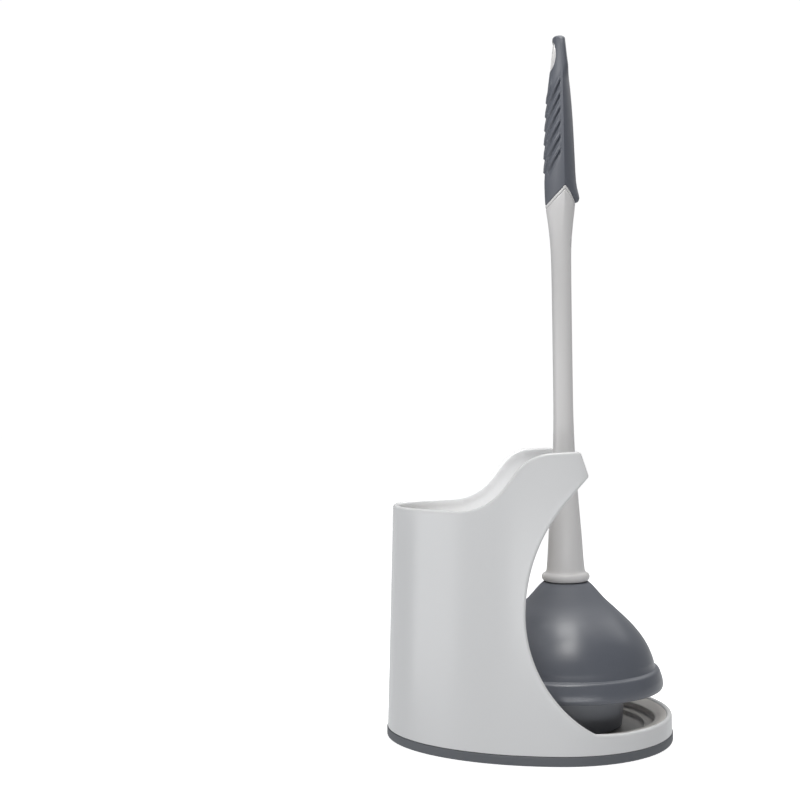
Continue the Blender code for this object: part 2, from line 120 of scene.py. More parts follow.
def revolve(name, profile, steps=144, placed=None, closed=False, sharp=40):
    """A profile of (radius, height) turned about Z. Closed joins its last point to its first."""
    verts = []
    for r, z in profile:
        for i in range(steps):
            turn = 2 * math.pi * i / steps
            verts.append((r * math.cos(turn), r * math.sin(turn), z))
    faces = grid_faces(len(profile), steps, close_rows=closed)
    return make(name, verts, faces, placed, sharp)


def rounded(points, radii, closed=False, step_angle=15.0, spacing=None):
    """A polyline with its corners rounded; radii is one number or one for each point."""
    count = len(points)
    radii = [radii] * count if isinstance(radii, (int, float)) else radii
    result = []
    for i, (point, radius) in enumerate(zip(points, radii)):
        here = Vector(point)
        if (not closed and i in (0, count - 1)) or radius <= 0:
            result.append(tuple(here))
            continue
        to_last = Vector(points[i - 1]) - here
        to_next = Vector(points[(i + 1) % count]) - here
        bend = math.pi - to_last.angle(to_next)
        if bend < 1e-3:
            result.append(tuple(here))
            continue
        reach = radius * math.tan(bend / 2)
        limit = 0.49 * min(to_last.length, to_next.length)
        if reach > limit:
            radius *= limit / reach
            reach = limit
        start = here + to_last.normalized() * reach
        centre = here + (to_last.normalized() + to_next.normalized()).normalized() * (
            radius / math.cos(bend / 2))
        arm = start - centre
        side = 1 if arm.cross(here - centre) > 0 else -1
        steps = max(2, math.ceil(math.degrees(bend) / step_angle))
        for k in range(steps + 1):
            turn = side * bend * k / steps
            cos, sin = math.cos(turn), math.sin(turn)
            result.append((centre.x + arm.x * cos - arm.y * sin, centre.y + arm.x * sin + arm.y * cos))
    if spacing:
        result = spread(result + ([result[0]] if closed else []), spacing)
        if closed:
            result.pop()
    return result


def spread(points, spacing):
    """The same polyline with extra points, so that no stretch is longer than the spacing."""
    result = [points[0]]
    for a, b in zip(points, points[1:]):
        length = math.dist(a, b)
        steps = max(1, math.ceil(length / spacing))
        for k in range(1, steps + 1):
            result.append(tuple(p + (q - p) * k / steps for p, q in zip(a, b)))
    return result


def arc(centre, radius, start, end, steps):
    """Points along an arc. Angles in degrees."""
    points = []
    for i in range(steps + 1):
        angle = math.radians(start + (end - start) * i / steps)
        points.append((centre[0] + radius * math.cos(angle), centre[1] + radius * math.sin(angle)))
    return points


def curve_through(points, steps):
    """A smooth line through points: a Catmull-Rom spline, evenly stepped between each pair."""
    pts = [np.array(p, float) for p in points]
    pts = [2 * pts[0] - pts[1]] + pts + [2 * pts[-1] - pts[-2]]
    result = []
    for a, b, c, d in zip(pts, pts[1:], pts[2:], pts[3:]):
        for k in range(steps):
            t = k / steps
            result.append(tuple(0.5 * (2 * b + (c - a) * t + (2 * a - 5 * b + 4 * c - d) * t * t
                                       + (3 * b - 3 * c + d - a) * t ** 3)))
    result.append(tuple(pts[-2]))
    return result


def smoothstep(x):
    """Rises from 0 to 1 as x does, level at both ends."""
    x = np.clip(x, 0.0, 1.0)
    return x * x * (3 - 2 * x)


# ---------------------------------------------------------------- materials

class Nodes:
    """A short way to write a node tree."""

    def __init__(self, name):
        self.material = bpy.data.materials.new(name)
        self.material.use_nodes = True
        self.tree = self.material.node_tree
        self.shader = self.tree.nodes["Principled BSDF"]
        self.place = self.add("ShaderNodeTexCoord").outputs["Object"]

    def add(self, kind, **values):
        node = self.tree.nodes.new(kind)
        for key, value in values.items():
            setattr(node, key, value)
        return node

    def link(self, a, b):
        self.tree.links.new(a, b)

    def stretch(self, scale):
        node = self.add("ShaderNodeMapping")
        node.inputs["Scale"].default_value = scale
        self.link(self.place, node.inputs["Vector"])
        return node.outputs["Vector"]

    def noise(self, scale, detail=4.0, rough=0.5, vector=None, distortion=0.0):
        node = self.add("ShaderNodeTexNoise")
        node.inputs["Scale"].default_value = scale
        node.inputs["Detail"].default_value = detail
        node.inputs["Roughness"].default_value = rough
        node.inputs["Distortion"].default_value = distortion
        self.link(vector or self.place, node.inputs["Vector"])
        return node.outputs["Fac"]

    def ramp(self, value, stops):
        node = self.add("ShaderNodeValToRGB")
        ramp = node.color_ramp
        while len(ramp.elements) < len(stops):
            ramp.elements.new(0.5)
        for element, (position, colour) in zip(ramp.elements, stops):
            element.position = position
            element.color = (*colour, 1) if len(colour) == 3 else colour
        self.link(value, node.inputs["Fac"])
        return node.outputs["Color"]

    def remap(self, value, low, high, out_low, out_high):
        node = self.add("ShaderNodeMapRange")
        values = {"From Min": low, "From Max": high, "To Min": out_low, "To Max": out_high}
        for key, number in values.items():
            node.inputs[key].default_value = number
        self.link(value, node.inputs["Value"])
        return node.outputs["Result"]

    def maths(self, operation, a, b):
        node = self.add("ShaderNodeMath", operation=operation)
        for socket, value in zip(node.inputs, (a, b)):
            if isinstance(value, (int, float)):
                socket.default_value = value
            else:
                self.link(value, socket)
        return node.outputs["Value"]

    def mix(self, factor, a, b):
        node = self.add("ShaderNodeMix", data_type="RGBA")
        self.link(factor, node.inputs["Factor"])
        for key, value in (("A", a), ("B", b)):
            socket = [s for s in node.inputs if s.name == key and s.type == "RGBA"][0]
            if isinstance(value, tuple):
                socket.default_value = (*value, 1)
            else:
                self.link(value, socket)
        return [s for s in node.outputs if s.type == "RGBA"][0]

    def bumps(self, layers):
        """Bump layers of (height, strength, depth in metres), one on top of another."""
        normal = None
        for height, strength, depth in layers:
            node = self.add("ShaderNodeBump")
            node.inputs["Strength"].default_value = strength
            node.inputs["Distance"].default_value = depth
            self.link(height, node.inputs["Height"])
            if normal:
                self.link(normal, node.inputs["Normal"])
            normal = node.outputs["Normal"]
        self.link(normal, self.shader.inputs["Normal"])


def gloss_plastic(name, base, shade, rough):
    """Injection-moulded gloss plastic: faint flow mottling, soft smears of gloss, orange peel."""
    n = Nodes(name)
    flow = n.noise(9, 3, 0.55, n.stretch((1, 1, 0.35)), 0.6)
    n.link(n.ramp(flow, [(0.2, shade), (0.8, base)]), n.shader.inputs["Base Color"])
    smear = n.remap(n.noise(14, 3, 0.5), 0.1, 0.9, *rough)
    n.link(smear, n.shader.inputs["Roughness"])
    n.bumps([(n.noise(300, 2, 0.4), 0.05, 0.0001), (n.noise(60, 2, 0.5), 0.05, 0.0003)])
    n.shader.inputs["Specular IOR Level"].default_value = 0.5
    n.shader.inputs["IOR"].default_value = 1.49
    return n.material


def rubber(name, base, light, rough, grain=0.12, shine=0.5, dull_from=None):
    """Moulded rubber: fine grain, soft bloom in patches, pale dust, faint flow rings.

    dull_from is (low, high, extra): the roughness rises by the extra between two heights in metres."""
    n = Nodes(name)
    bloom = n.noise(22, 5, 0.62, None, 0.4)
    fine = n.noise(900, 2, 0.6)
    colour = n.ramp(bloom, [(0.32, base), (0.72, light)])
    dust = n.ramp(n.noise(520, 3, 0.7), [(0.66, (0, 0, 0)), (0.78, (1, 1, 1))])
    n.link(n.mix(n.maths("MULTIPLY", dust, 0.1), colour, tuple(min(1, c * 2.1) for c in light)),
           n.shader.inputs["Base Color"])
    surface = n.remap(bloom, 0.3, 0.72, *rough)
    if dull_from:
        split = n.add("ShaderNodeSeparateXYZ")
        n.link(n.place, split.inputs[0])
        dull = n.remap(split.outputs["Z"], dull_from[0], dull_from[1], 0, dull_from[2])
        surface = n.maths("ADD", surface, dull)
    n.link(surface, n.shader.inputs["Roughness"])
    rings = n.noise(30, 2, 0.5, n.stretch((1, 1, 9)))
    n.bumps([(fine, grain, 0.00025), (n.noise(150, 3, 0.6), grain * 0.8, 0.0005), (rings, 0.05, 0.0008)])
    n.shader.inputs["IOR"].default_value = 1.5
    n.shader.inputs["Specular IOR Level"].default_value = shine
    return n.material


white_shell = gloss_plastic("caddy_white", (0.775, 0.778, 0.785), (0.76, 0.763, 0.768), rough=(0.24, 0.27))
# Painted shade: the tray and divider use a warmer, darker copy of the caddy's white, which stands in for the
# brownish shade that falls in the dish and well.
shaded_tray_white = gloss_plastic("tray_white_painted_shade", (0.79, 0.765, 0.73), (0.77, 0.74, 0.70), rough=(0.30, 0.38))
white_handle = gloss_plastic("handle_white", (0.69, 0.68, 0.68), (0.67, 0.66, 0.655), rough=(0.26, 0.30))
socket_plastic = gloss_plastic("socket_grey", (0.16, 0.165, 0.175), (0.135, 0.14, 0.15), rough=(0.35, 0.5))
cup_rubber = rubber("cup_slate_rubber", (0.118, 0.128, 0.153), (0.132, 0.142, 0.167), rough=(0.29, 0.36),
                    grain=0.08, shine=0.8, dull_from=(0.088, 0.100, 0.32))
grip_rubber = rubber("grip_slate_rubber", (0.088, 0.096, 0.117), (0.098, 0.106, 0.128), rough=(0.42, 0.5),
                     grain=0.12, shine=0.8)
# The real flange is the cup's own rubber. It is over twice as light here only to look as bright as it does
# in the photo, because this scene's lights hardly reach under the lip.
flange_rubber = rubber("flange_slate_rubber", (0.26, 0.275, 0.31), (0.28, 0.295, 0.33), rough=(0.36, 0.44),
                       grain=0.08, shine=0.8)
ring_rubber = rubber("ring_slate_rubber", (0.125, 0.133, 0.147), (0.138, 0.146, 0.160), rough=(0.5, 0.62))


def dress(piece, material, slot, body, *nodes):
    """Give a piece its material, its body and the CAD nodes that it stands for."""
    piece.data.materials.clear()
    piece.data.materials.append(material)
    if body:
        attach(piece, body)
    if nodes:
        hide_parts(*nodes)
    return piece


# ---------------------------------------------------------------- caddy

def plan(theta, inset):
    """Points of the egg-shaped outline, some way inside the ring's edge. Angles in radians."""
    cos = np.cos(theta)
    reach = np.where(cos > 0, NOSE, TAIL)
    return WIDEST_X + (reach - inset) * cos, (HALF_WIDTH - inset) * np.sin(theta)


CHART_THETA = np.linspace(0, math.pi, 6001)
CHART_X, CHART_Y = plan(CHART_THETA, SHELL_STEP + DRAFT * 100)
CHART_S = np.concatenate([[0], np.cumsum(np.hypot(np.diff(CHART_X), np.diff(CHART_Y)))])
HALF_PERIMETER = float(CHART_S[-1])


def chart_of(x, z):
    """Arc length round the plan, from the nose, of a point at x on the wall's outer face."""
    inset = SHELL_STEP + DRAFT * z
    reach = NOSE if x > WIDEST_X else TAIL
    theta = math.acos(max(-1, min(1, (x - WIDEST_X) / (reach - inset))))
    return float(np.interp(theta, CHART_THETA, CHART_S))


def wall_points(flat, depth, side):
    """Points on the shell wall from (arc length, height) pairs, at a depth below its outer face."""
    flat = np.asarray(flat, float)
    theta = np.interp(flat[:, 0], CHART_S, CHART_THETA)
    x, y = plan(theta, SHELL_STEP + DRAFT * flat[:, 1] + depth)
    return np.column_stack([x, side * y, flat[:, 1]])


# The cut-out in each side, seen from the side: two arcs of (centre, radius), millimetres
LOW_ARC = ((80.5, 102), 91.5)
HIGH_ARC = ((108, 102), 119)
NOSE_Z = 20.0
LOW_RIM = 171.5
HOOK_TIP = (33.4, 196.6)
# Sweep of the rim on each side: hook top, crown corner, foot corner, and the radius at each
SWEEPS = {-1: (((27.3, 214.0), 2.8), ((-8.3, 212.2), 33.0), ((-37.8, LOW_RIM), 41.6)),
          1: (((27.3, 211.0), 2.8), ((-5.0, 210.0), 28.0), ((-36.8, LOW_RIM), 41.0))}


def rim_line(side):
    """The shell's upper edge on one side, nose to tail, as (arc length, height)."""
    corners = [((80.5, NOSE_Z), 0.0), ((58.0, NOSE_Z), 60.0)]
    corners += [(p, 0.0) for p in arc(*LOW_ARC, 242, 180, 40)]
    high = arc(*HIGH_ARC, 180, 137, 40)
    corners += [(p, 0.0) for p in high[1:-1]] + [(high[-1], 30.0)]
    corners += [(HOOK_TIP, 2.6), *SWEEPS[side], ((-80, LOW_RIM), 0.0)]
    points, radii = zip(*corners)
    line = spread(rounded(points, radii, step_angle=8), 1.6)
    flat = [(0.0, NOSE_Z)] + [(chart_of(x, z), z) for x, z in line] + [(HALF_PERIMETER, LOW_RIM)]
    return spread(flat, 2.6)


def inward(line, distance):
    """The rim line moved into the wall, in the unrolled plane. Its two ends stay on the middle line."""
    pts = np.array(line)
    ahead = np.gradient(pts, axis=0)
    ahead /= np.linalg.norm(ahead, axis=1)[:, None]
    normal = np.column_stack([ahead[:, 1], -ahead[:, 0]])
    normal[0] = (0, -1)
    normal[-1] = (0, -1)
    return pts + normal * distance


def inside(points, polygon):
    """Which of the points lie inside the polygon."""
    x, y = points[:, 0], points[:, 1]
    hit = np.zeros(len(points), bool)
    for (x1, y1), (x2, y2) in zip(polygon, np.roll(polygon, -1, axis=0)):
        crossing = (y1 > y) != (y2 > y)
        with np.errstate(divide="ignore", invalid="ignore"):
            hit ^= crossing & (x < (x2 - x1) * (y - y1) / (y2 - y1) + x1)
    return hit


def distance_to(line, points):
    """From each point to the nearest point of a line."""
    apart = points[:, None, :] - line[None, :, :]
    return np.min(np.hypot(apart[..., 0], apart[..., 1]), axis=1)


def wall_patch(side, pitch=3.3):
    """One side of the shell: outer and inner face, full-round rim bead and foot."""
    rim = rim_line(side)
    edge = inward(rim, BEAD_R)
    foot = np.column_stack([np.linspace(HALF_PERIMETER, 0, 110), np.full(110, SHELL_FOOT)])
    tail = np.array(spread([tuple(edge[-1]), tuple(foot[0])], 3.4))[1:-1]
    nose = np.array(spread([tuple(foot[-1]), tuple(edge[0])], 3.4))[1:-1]
    polygon = np.vstack([edge, tail, foot, nose])
    xs = np.arange(0, HALF_PERIMETER, pitch)
    zs = np.arange(0, 220, pitch * 0.866)
    lattice = np.array([(x + (pitch / 2 if j % 2 else 0), z) for j, z in enumerate(zs) for x in xs])
    lattice = lattice[inside(lattice, polygon)]
    clear = lattice[distance_to(polygon, lattice) > pitch * 0.62]
    cloud = [Vector(p) for p in np.vstack([polygon, clear])]
    ring = [(i, (i + 1) % len(polygon)) for i in range(len(polygon))]
    flat, _, triangles, *_ = delaunay_2d_cdt(cloud, ring, [list(range(len(polygon)))], 1, 1e-5)
    flat = np.array([tuple(p) for p in flat])
    inner = WALL + (2 * BEAD_R - WALL) * (1 - smoothstep(distance_to(edge, flat) / BEAD_FADE))
    verts, faces = [], []
    for depth in (0, inner):
        faces += [tuple(len(verts) + i for i in t) for t in triangles]
        verts += list(map(tuple, wall_points(flat, depth, side)))
    turns = np.radians(np.linspace(0, 180, 11))
    faces += grid_faces(len(turns), len(rim), len(verts), close_columns=False)
    for turn in turns:
        verts += list(map(tuple, wall_points(inward(rim, BEAD_R * (1 - math.sin(turn))),
                                             BEAD_R * (1 - math.cos(turn)), side)))
    faces += grid_faces(2, len(foot), len(verts), close_columns=False)
    for depth in (0, WALL):
        verts += list(map(tuple, wall_points(foot, depth, side)))
    return verts, faces


def shell_skin():
    """The caddy's drafted wall, made of its two sides."""
    verts, faces = [], []
    for side in (-1, 1):
        more, rings = wall_patch(side)
        faces += [tuple(len(verts) + i for i in face) for face in rings]
        verts += more
    return make("caddy_shell_skin", verts, faces, sharp=50)


def plan_loop(section, count=240):
    """A closed section of (inset, height) points carried round the caddy's plan."""
    theta = np.linspace(0, 2 * math.pi, count, endpoint=False)
    verts = []
    for inset, z in section:
        x, y = plan(theta, inset)
        verts += list(zip(x, y, np.full(count, z)))
    return verts, grid_faces(len(section), count, close_rows=True)


def base_ring_skin():
    """The soft ring that the caddy stands on."""
    section = rounded([(0, 0), (0, 6.8), (3.2, 6.8), (3.2, 4.2), (16, 4.2), (16, 0)],
                      [1.3, 1.1, 0.4, 0.3, 0.8, 0.8], closed=True)
    return make("base_ring_skin", *plan_loop(section))


def plan_reach(phi, inset):
    """Distance from the dish's centre to the plan outline, in each direction."""
    low, high = np.zeros_like(phi), np.full_like(phi, 200.0)
    for _ in range(50):
        middle = (low + high) / 2
        x = DISH_X + middle * np.cos(phi) - WIDEST_X
        y = middle * np.sin(phi)
        reach = np.where(x > 0, NOSE, TAIL) - inset
        within = (x / reach) ** 2 + (y / (HALF_WIDTH - inset)) ** 2 < 1
        low = np.where(within, middle, low)
        high = np.where(within, high, middle)
    return low


# Brush well: cut off by a straight line near the sides and by an arc behind the cup, millimetres
WELL_LINE_X = -26.3
WELL_R = 81.0
WELL_CENTRE_X = 27.5
DIVIDER_R = 76.2
DIVIDER_END_Y = 79.0
CORNER_SMOOTHING = 14
TRAY_EDGE = 3.2
WELL_EDGE = 6.5
TRAY_BOTTOM = 4.6
TRAY_LIFT = 0.2


def tray_skin():
    """The tray: dish with two steps, slope up to the rim, and the sunk floor of the brush well."""
    corner = (WELL_LINE_X, math.sqrt(WELL_R ** 2 - (WELL_LINE_X - WELL_CENTRE_X) ** 2))
    phi_corner = math.atan2(corner[1], corner[0] - DISH_X)
    half_y = (HALF_WIDTH - WELL_EDGE) * math.sqrt(1 - ((WELL_LINE_X - WIDEST_X) / (TAIL - WELL_EDGE)) ** 2)
    phi_start = math.atan2(half_y, WELL_LINE_X - DISH_X)
    half = np.concatenate([np.linspace(0, phi_start, 84, endpoint=False),
                           np.linspace(phi_start, phi_corner, 8, endpoint=False),
                           np.linspace(phi_corner, math.pi, 36)])
    phi = np.concatenate([half, -half[-2:0:-1]])
    count = len(phi)
    steps = rounded([(36, FLOOR_Z), (STEP_R, FLOOR_Z), (STEP_R, LEDGE_Z), (DISH_R, LEDGE_Z),
                     (DISH_R, DISH_Z), (DISH_R + 4, DISH_Z)], [0, 1.0, 0.9, 1.2, 1.0, 0], step_angle=18)
    steps = [(6, FLOOR_Z), (20, FLOOR_Z)] + steps[:-1]
    rows = [(np.full(count, r), np.full(count, z)) for r, z in steps]
    rim_r = plan_reach(phi, TRAY_EDGE)
    slope_start = DISH_R + 1.2
    edge_r = plan_reach(phi, WELL_EDGE)
    line_r = np.where(np.cos(phi) < 0, (WELL_LINE_X - DISH_X) / np.minimum(np.cos(phi), -1e-6), 1e9)
    offset = WELL_CENTRE_X - DISH_X
    circle_r = offset * np.cos(phi) + np.sqrt(WELL_R ** 2 - (offset * np.sin(phi)) ** 2)
    well_r = np.minimum(edge_r, np.maximum(line_r, circle_r))
    has_well = np.abs(phi) > phi_start + 1e-9

    def slope_z(r):
        t = np.clip((r - slope_start) / (rim_r - slope_start), 0, 1)
        return DISH_Z + (TRAY_TOP + TRAY_LIFT - DISH_Z) * (0.35 * t + 0.65 * t * t)

    for share in (0.15, 0.3, 0.45, 0.6, 0.75, 0.88, 1.0):
        r = slope_start + (well_r - 0.6 - slope_start) * share
        rows.append((r, slope_z(r)))
    drop = np.where(has_well, 1.0, 0.0)
    top = slope_z(well_r)
    for r_shift, z_drop in ((-0.18, 0.18), (0.0, 0.6)):
        r = well_r + r_shift
        rows.append((r, slope_z(r) - drop * z_drop))
    rows.append((well_r, np.where(has_well, FLOOR_Z + 0.8, top)))
    wide = np.maximum(edge_r - well_r, 0)
    tuck = np.minimum(0.8, wide / 3)
    rows.append((well_r + tuck, np.where(has_well, FLOOR_Z, top)))
    rows.append(((well_r + edge_r) / 2, np.where(has_well, FLOOR_Z, top)))
    rows.append((edge_r - tuck, np.where(has_well, FLOOR_Z, top)))
    rows.append((edge_r, np.where(has_well, FLOOR_Z + 0.8, slope_z(edge_r))))
    rows.append((edge_r, slope_z(edge_r) - drop * 0.6))
    rows.append((edge_r + 0.5, slope_z(edge_r + 0.5)))
    rows.append(((edge_r + rim_r) / 2, slope_z((edge_r + rim_r) / 2)))
    rows.append((rim_r, np.full(count, TRAY_TOP + TRAY_LIFT)))
    rows.append((rim_r, np.full(count, TRAY_BOTTOM)))
    rows.append((np.full(count, 6.0), np.full(count, TRAY_BOTTOM)))
    verts = []
    for r, z in rows:
        verts += list(zip(DISH_X + r * np.cos(phi), r * np.sin(phi), z))
    faces = grid_faces(len(rows), count)
    middle = len(verts)
    verts += [(DISH_X, 0, FLOOR_Z), (DISH_X, 0, TRAY_BOTTOM)]
    last = (len(rows) - 1) * count
    for i in range(count):
        j = (i + 1) % count
        faces.append((middle, i, j))
        faces.append((middle + 1, last + j, last + i))
    return make("base_tray_skin", verts, faces, sharp=50)


def divider_skin():
    """The upright wall behind the cup: an arc in plan that runs straight out to the shell."""
    sweep = math.radians(50)
    end_x = WELL_CENTRE_X - DIVIDER_R * math.cos(sweep)
    path = [(end_x, -DIVIDER_END_Y)]
    path += [(WELL_CENTRE_X - DIVIDER_R * math.cos(a), DIVIDER_R * math.sin(a))
             for a in np.linspace(-sweep, sweep, 61)]
    path.append((end_x, DIVIDER_END_Y))
    pts = np.array(spread(path, 2.5))
    for _ in range(CORNER_SMOOTHING):
        pts[1:-1] = (pts[:-2] + 2 * pts[1:-1] + pts[2:]) / 4
    ahead = np.gradient(pts, axis=0)
    ahead /= np.linalg.norm(ahead, axis=1)[:, None]
    normal = np.column_stack([-ahead[:, 1], ahead[:, 0]])
    half, low, high = 1.2, 12.4, 150
    section = rounded([(-half, low), (-half, high), (half, high), (half, low)], [0, 1.1, 1.1, 0],
                      closed=True, step_angle=20)
    verts = []
    for across, z in section:
        place = pts + normal * across
        verts += [(x, y, z) for x, y in place]
    count = len(pts)
    faces = grid_faces(len(section), count, close_rows=True, close_columns=False)
    faces.append([r * count for r in range(len(section))])
    faces.append([r * count + count - 1 for r in reversed(range(len(section)))])
    return make("well_divider_skin", verts, faces)


shell = dress(shell_skin(), white_shell, "caddy_plastic", "caddy", "caddy_shell")
tray = dress(tray_skin(), shaded_tray_white, "tray_plastic", "caddy", "base_tray")
ring = dress(base_ring_skin(), ring_rubber, "ring_rubber", "caddy", "base_ring")
divider = dress(divider_skin(), shaded_tray_white, "tray_plastic", "caddy", "well_divider")


# ---------------------------------------------------------------- plunger

def seam_height(x, lift=0.0):
    """Height of the inverted V of the grip's lower edge, from a place along the plunger's X."""
    edge = [(-15, -16.2), (-6.0, -6.9), (-1.6, -2.7), (-0.5, -1.25), (0.35, -0.75), (1.2, -1.25),
            (2.6, -2.75), (4.5, -5.2), (7.8, -10.2), (10.4, -16.0), (12.6, -23)]
    xs, zs = zip(*edge)
    return 406.4 + lift + np.interp(np.asarray(x) - 2.0, xs, zs)


# Handle sections: height, then front reach, back reach, half width, ridge offset, facet share
SECTIONS = np.array([
    (118, 14.9, 14.9, 14.9, 0, 0), (121.3, 14.4, 14.4, 14.4, 0, 0), (150, 12.3, 12.3, 12.3, 0, 0),
    (182, 9.9, 9.9, 9.9, 0, 0), (215, 8.1, 8.1, 8.1, 0, 0), (248, 7.35, 7.35, 7.35, 0, 0),
    (300, 7.3, 7.3, 7.3, 0, 0), (345, 7.4, 7.4, 7.4, 0, 0), (366, 8.1, 7.9, 7.9, 0.2, 0.1),
    (380, 9.5, 9.3, 9, 0.8, 0.25), (395, 11.6, 11.2, 10.8, 1.8, 0.45), (414, 12.2, 12, 11.6, 2, 0.55),
    (436, 11.8, 11.4, 11.5, 2, 0.6), (460, 10.5, 10.4, 10.6, 2, 0.6), (480, 8.8, 9, 9.6, 2, 0.6),
    (496, 6.6, 7.3, 8.6, 2, 0.55), (508, 5.2, 5.9, 8.1, 1.6, 0.45), (516, 4.5, 5.1, 7.4, 1.2, 0.35),
    (519.3, 4.2, 4.7, 6.2, 1, 0.25), (520.7, 3.0, 3.6, 4.4, 0.8, 0.2), (521.3, 2.0, 2.4, 3.0, 0.8, 0.2)])


def section_at(z):
    """Handle section at heights z, smooth between the table's rows and never past them."""
    z = np.asarray(z, float)
    zs = SECTIONS[:, 0]
    i = np.clip(np.searchsorted(zs, z, side="right") - 1, 0, len(zs) - 2)
    h = zs[i + 1] - zs[i]
    t = np.clip((z - zs[i]) / h, 0, 1)[..., None]
    values = SECTIONS[:, 1:]
    rise = np.diff(values, axis=0) / np.diff(zs)[:, None]
    slope = np.zeros_like(values)
    inner = (rise[:-1] + rise[1:]) / 2
    inner = np.where(rise[:-1] * rise[1:] > 0, inner, 0)
    limit = 3 * np.minimum(np.abs(rise[:-1]), np.abs(rise[1:]))
    slope[1:-1] = np.sign(inner) * np.minimum(np.abs(inner), limit)
    slope[0], slope[-1] = rise[0], rise[-1]
    h = h[..., None]
    a, b = values[i], values[i + 1]
    return ((2 * t ** 3 - 3 * t ** 2 + 1) * a + (t ** 3 - 2 * t ** 2 + t) * h * slope[i]
            + (-2 * t ** 3 + 3 * t ** 2) * b + (t ** 3 - t ** 2) * h * slope[i + 1])


def around(front_steps, back_steps):
    """Places round the handle, each (0 at the front or back crest to 1 at the ridge, front?, side)."""
    places = []
    for front, side, steps, outward in ((False, 1, back_steps, True), (True, 1, front_steps, False),
                                        (True, -1, front_steps, True), (False, -1, back_steps, False)):
        for i in range(steps):
            across = i / steps if outward else 1 - i / steps
            places.append((across, front, side))
    return (np.array([p[0] for p in places]), np.array([p[1] for p in places]),
            np.array([p[2] for p in places]))


def handle_surface(z, places, inset=0.0, lobe=0.0):
    """Points (x, y) of the handle at heights z, one for each place round it.

    inset moves them inward, and lobe carries the back crest further out."""
    across, front, side = places
    section = section_at(z)
    front_reach, back_reach, half, ridge, facet = np.moveaxis(section, -1, 0)
    back_reach = back_reach + lobe
    reach = np.where(front, front_reach + ridge, back_reach - ridge) - inset
    half = half - inset
    square = smoothstep((z - 488) / 12) * np.where(front, 0.0, 1.0) * smoothstep((522 - z) / 3)
    angle = across * math.pi / 2
    round_x, round_y = np.cos(angle), np.sin(angle)
    power = 1 - 0.5 * square
    box_x, box_y = round_x ** power, round_y ** power
    kite_x, kite_y = 1 - across, across
    kite_x = kite_x - 0.06 * np.exp(-((1 - kite_x) / 0.07) ** 2)
    share = facet * (1 - 0.9 * square)
    x = np.maximum(reach, 0.4) * ((1 - share) * box_x + share * kite_x)
    y = np.maximum(half, 0.4) * ((1 - share) * box_y + share * kite_y)
    return ridge + np.where(front, -x, x), y * side


def seam_rows(places, lift, tries=30):
    """Heights where the handle's surface meets the seam, for each place round it."""
    z = np.full(len(places[0]), 398.0)
    for _ in range(tries):
        x, _ = handle_surface(z, places)
        z = 0.6 * z + 0.4 * seam_height(x, lift)
    return z


def skin_from_rows(name, rows, cap_low=None, cap_high=None, close=False, sharp=40):
    """A closed tube skin from rows of (x, y, z) arrays."""
    count = len(rows[0][0])
    verts = [p for x, y, z in rows for p in zip(x, y, z)]
    faces = grid_faces(len(rows), count, close_rows=close)
    for cap, row in ((cap_low, 0), (cap_high, len(rows) - 1)):
        if cap is not None:
            verts.append(cap)
            for i in range(count):
                faces.append((len(verts) - 1, row * count + i, row * count + (i + 1) % count))
    return make(name, verts, faces, AXIS, sharp)


SHAFT_FOOT = 120.95
FLARE_TOP = 123.6
TUBE_WALL = 2.4


def shaft_skin():
    """The hollow handle tube, from the collar's bead up to the grip's seam."""
    places = around(20, 20)
    top = seam_rows(places, -0.35)
    rows = []
    foot = [(0.9, SHAFT_FOOT), (0.45, 121.3), (0.15, 122.2), (0.0, FLARE_TOP)]
    for flare, z in foot:
        x, y = handle_surface(np.full(len(top), z), places)
        grow = 1 + flare / 14.4
        rows.append((x * grow, y * grow, np.full(len(top), z)))
    for share in np.linspace(0, 1, 150)[1:]:
        z = FLARE_TOP + (top - 0.5 - FLARE_TOP) * share
        rows.append((*handle_surface(z, places), z))
    for inset, drop in ((0.12, 0.15), (0.4, 0.0), (2.2, 0.0)):
        z = top - drop
        x, y = handle_surface(z, places, inset)
        rows.append((x, y, z))
    for share in np.linspace(0, 1, 24)[1:]:
        z = top + (SHAFT_FOOT - top) * share
        x, y = handle_surface(z, places, TUBE_WALL)
        rows.append((x, y, z))
    return skin_from_rows("shaft_skin", rows, close=True)


def grip_core_skin():
    """The white inner grip: its trim band at the seam, then the core under the soft sleeve."""
    places = around(26, 22)
    low = seam_rows(places, 0.05)
    high = seam_rows(places, 2.5)
    rows = []
    for z, inset in ((low, 2.3), (low, 0.35), (low + 0.12, 0.1), (low + 0.4, -0.05), ((low + high) / 2, -0.1),
                     (high - 0.4, -0.05), (high - 0.12, 0.1), (high, 0.35), (high + 0.3, 2.3)):
        rows.append((*handle_surface(z, places, inset), z))
    for share in np.linspace(0, 1, 30)[1:]:
        z = high + 0.3 + (517 - high) * share
        rows.append((*handle_surface(z, places, 2.3), z))
    return skin_from_rows("grip_core_skin", rows, (2, 0, 395), (1, 0, 518))


RIB_PITCH = 10.4
RIB_TOPS = [487.2 - RIB_PITCH * k for k in range(6)]


def stroke(z, across, top, drop, start, end, width=1.0):
    """Height of one diagonal rib: a raised lip above its line and a sharp groove below it."""
    share = np.clip((end - across) / (end - start), 0, 1)
    line = top - drop * share
    away = (z - line) * 0.57
    bead = 0.85 * np.exp(-((away - 0.6) / 0.5) ** 2) + 0.4 * np.exp(-((away - 2.0) / 1.5) ** 2)
    groove = -1.25 * np.exp(-((away + 0.55) / 0.5) ** 2) - 0.3 * np.exp(-((away + 1.7) / 1.1) ** 2)
    ends = smoothstep((across - start + 0.07) / 0.12) * smoothstep((end + 0.03 - across) / 0.1)
    return width * (bead + groove) * ends


def rib_relief(z, places):
    """Height of all the ribs: two rows of strokes on each front facet."""
    across, front, _ = places
    total = np.zeros_like(z)
    for top in RIB_TOPS:
        total += stroke(z, across, top, 15.5, 0.3, 0.86)
        total += stroke(z, across, top - 2.6, 16.5, -0.05, 0.3, 0.85)
    return total * np.where(front, 1.0, 0.0)


